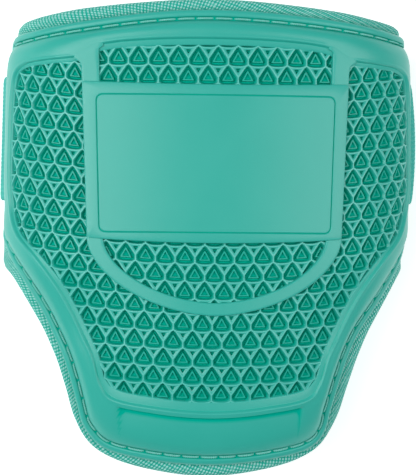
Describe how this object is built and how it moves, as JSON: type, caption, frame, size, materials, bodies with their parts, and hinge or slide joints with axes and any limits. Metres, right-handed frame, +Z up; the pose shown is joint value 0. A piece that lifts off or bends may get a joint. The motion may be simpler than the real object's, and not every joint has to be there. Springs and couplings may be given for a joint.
{
  "type": "batter's elbow guard",
  "caption": "Curved elbow guard with a moulded rubber shell of triangle lattice, plain front plate, padded fabric body and an elastic strap behind the arm.",
  "frame": {"origin": "middle of the bounding box on the floor under the guard", "axes": "+Z up from the floor through the front plate, +Y along the arm towards the wide upper edge, +X across the arm"},
  "size_m": [0.1512, 0.1684, 0.055],
  "materials": {
    "shell_rubber": "satin moulded mint green",
    "pad_fabric": "woven mint green cover",
    "strap_elastic": "ribbed mint green elastic",
    "thread": "twisted light mint thread"
  },
  "bodies": {
    "root": {"shell": "shell_rubber", "pad": "pad_fabric", "strap": "strap_elastic"}
  },
  "joints": []
}
